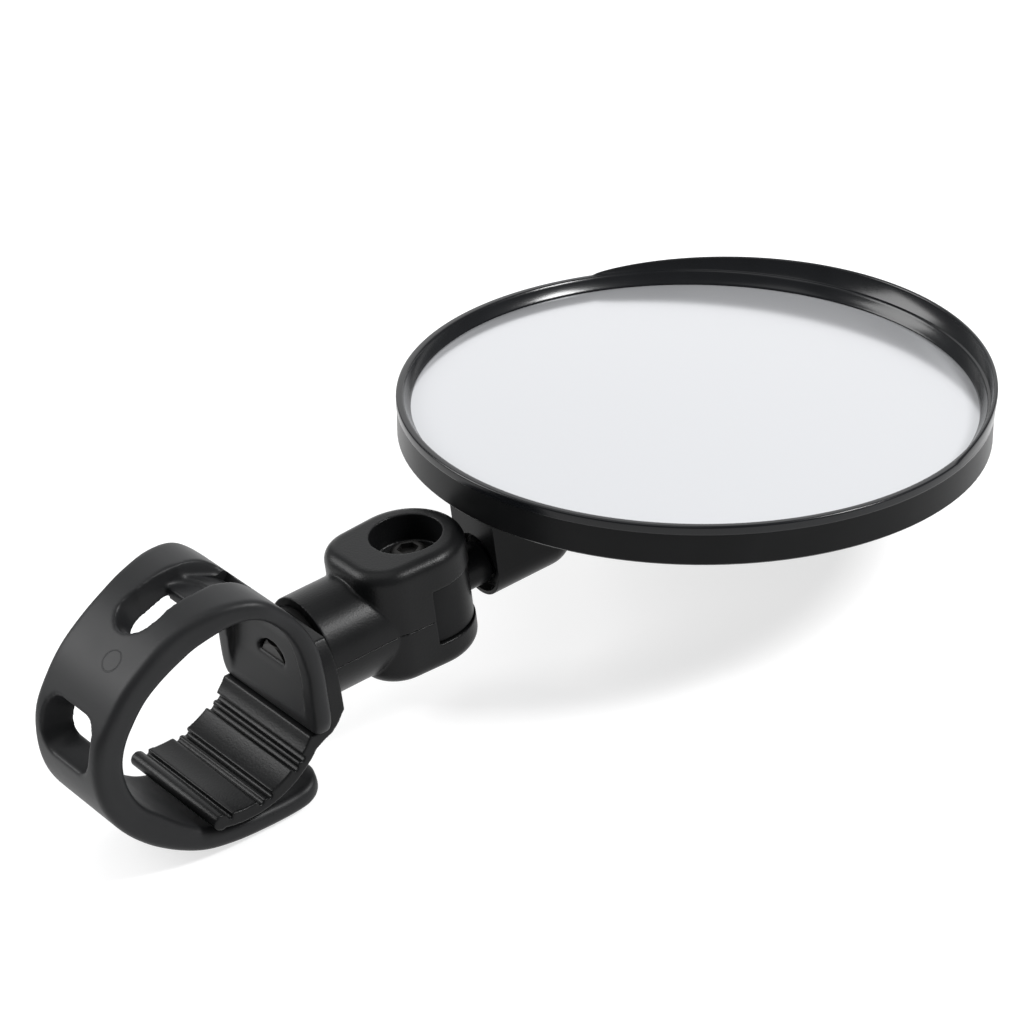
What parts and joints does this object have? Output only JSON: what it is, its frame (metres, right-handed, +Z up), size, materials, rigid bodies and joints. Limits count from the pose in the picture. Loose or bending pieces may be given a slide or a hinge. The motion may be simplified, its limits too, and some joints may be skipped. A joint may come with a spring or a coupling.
{
  "type": "bicycle handlebar mirror",
  "caption": "Round convex handlebar mirror on a swivelling arm with a rubber strap clamp, a side pivot and a ball joint behind the glass.",
  "frame": {"origin": "on the handlebar's axis, in the middle of the clamp's width", "axes": "+Y along the handlebar, +X along the arm towards the mirror, +Z up, the way the glass faces at rest"},
  "size_m": [0.1414, 0.08, 0.0345],
  "materials": {
    "textured_plastic": "fine moulded texture, satin",
    "satin_plastic": "smooth satin",
    "gloss_rim": "semi-gloss",
    "strap_rubber": "smooth, soft sheen",
    "dark_steel": "blackened",
    "washer_nylon": "smooth",
    "silvered_glass": "polished, convex",
    "foam_pad": "soft foam"
  },
  "bodies": {
    "clamp": {"clamp_base": "textured_plastic", "strap_root_band": "strap_rubber", "swivel_bolt": "dark_steel", "swivel_washer": "washer_nylon", "spring_washer": "dark_steel", "swivel_nut": "dark_steel"},
    "strap_end": {"strap_free_band": "strap_rubber"},
    "arm": {"arm_upper_shell": "textured_plastic", "arm_lower_shell": "textured_plastic", "pivot_screw": "dark_steel", "head_washer": "dark_steel", "pivot_nut": "dark_steel", "pivot_washers": "washer_nylon"},
    "neck": {"neck": "satin_plastic"},
    "cup": {"ball_cup": "washer_nylon"},
    "head": {"mirror_housing": "satin_plastic", "bezel_ring": "gloss_rim", "mirror_glass": "silvered_glass", "glass_pad": "foam_pad", "cup_retainer": "satin_plastic"}
  },
  "joints": [
    {"name": "strap_open", "type": "hinge", "parent": "clamp", "child": "strap_end", "pos_m": [-0.00848, 0, 0.01011], "axis": [0, 1, 0], "range_deg": [0, 70], "stiffness_Nm_per_rad": 0.01, "springref_deg": -11.46},
    {"name": "arm_swivel", "type": "hinge", "parent": "clamp", "child": "arm", "pos_m": [0.0175, 0, -0.0009], "axis": [1, 0, 0], "continuous": true},
    {"name": "neck_pivot", "type": "hinge", "parent": "arm", "child": "neck", "pos_m": [0.03565, 0, -0.0009], "axis": [0, 0, 1], "range_deg": [-70, 70]},
    {"name": "head_spin", "type": "hinge", "parent": "neck", "child": "cup", "pos_m": [0.0504, 0, -0.0009], "axis": [1, 0, 0], "continuous": true},
    {"name": "head_tilt", "type": "hinge", "parent": "cup", "child": "head", "pos_m": [0.0504, 0, -0.0009], "axis": [0, 1, 0], "range_deg": [-3, 10]}
  ]
}
